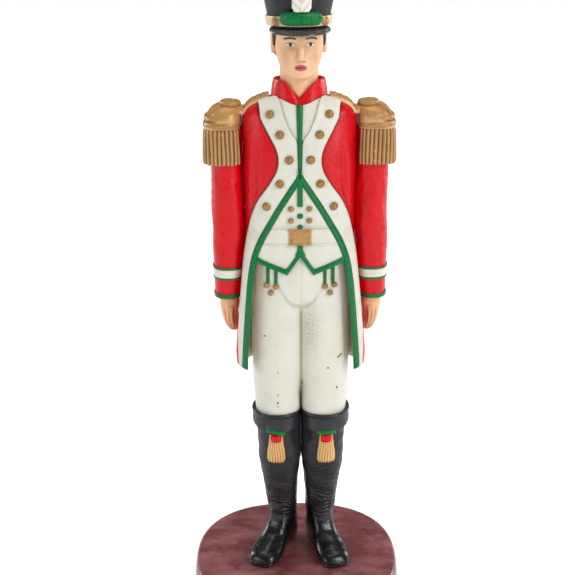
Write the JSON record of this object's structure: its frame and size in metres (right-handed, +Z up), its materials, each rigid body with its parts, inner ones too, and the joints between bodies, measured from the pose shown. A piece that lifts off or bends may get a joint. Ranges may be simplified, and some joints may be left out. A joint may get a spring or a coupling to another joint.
{
  "type": "toy soldier figure",
  "caption": "Standing toy soldier in a red tailcoat, white trousers, black boots and a plumed shako, with fringed epaulettes, on a rounded wooden plinth.",
  "frame": {"origin": "middle of the plinth's felt underside, where the object rests", "axes": "+Z up through the figure; the figure faces -Y, and its own left hand is at +X"},
  "size_m": [0.104, 0.101, 0.3266],
  "materials": {
    "base_wood": "deep red-brown gloss lacquer, mottled",
    "felt": "thin dark felt",
    "steel": "plain wood screws",
    "boot_black": "high-gloss black enamel",
    "boot_charcoal": "charcoal enamel, satin",
    "ivory_paint": "ivory enamel, brushed by hand",
    "red_paint": "bright red enamel, glossy",
    "green_paint": "emerald green enamel",
    "gold_paint": "antique gold paint with brown in the hollows",
    "skin_paint": "flesh paint with a soft brown wash",
    "hair_paint": "dark brown paint",
    "hat_black": "black enamel, brushed",
    "visor_black": "glossy black enamel",
    "plume_white": "cream paint over carved feathers",
    "bare_wood": "unfinished dowel"
  },
  "bodies": {
    "root": {"base_plinth": "base_wood", "base_felt": "felt", "base_screws": "steel", "boot_left": "boot_black", "boot_right": "boot_black", "boot_fold_left": "boot_charcoal", "boot_fold_right": "boot_charcoal", "boot_cords": "green_paint", "tassel_knots": "red_paint", "tassel_skirts": "gold_paint", "trousers": "ivory_paint", "fob_cords": "green_paint", "fob_beads": "gold_paint", "coat_body": "red_paint", "lapel_left": "ivory_paint", "lapel_right": "ivory_paint", "shirt_front": "ivory_paint", "front_cord": "green_paint", "coat_piping": "green_paint", "waistcoat": "ivory_paint", "waistcoat_piping": "green_paint", "waistcoat_beads": "gold_paint", "waist_belt": "ivory_paint", "belt_plate": "gold_paint", "coat_buttons": "gold_paint", "collar": "red_paint", "sleeve_left": "red_paint", "sleeve_right": "red_paint", "cuff_band_left": "ivory_paint", "cuff_band_right": "ivory_paint", "cuff_edging_left": "green_paint", "cuff_edging_right": "green_paint", "hand_left": "skin_paint", "hand_right": "skin_paint", "epaulette_left": "gold_paint", "epaulette_right": "gold_paint", "fringe_left": "gold_paint", "fringe_right": "gold_paint", "head": "skin_paint", "hair": "hair_paint", "shako": "hat_black", "shako_band": "gold_paint", "visor": "visor_black", "hat_roll": "green_paint", "hat_bosses": "gold_paint", "plume": "plume_white", "hip_dowel": "bare_wood", "leg_dowels": "bare_wood", "shoulder_dowels": "bare_wood", "neck_dowel": "bare_wood", "hat_dowel": "bare_wood", "wrist_dowels": "bare_wood"}
  },
  "joints": []
}
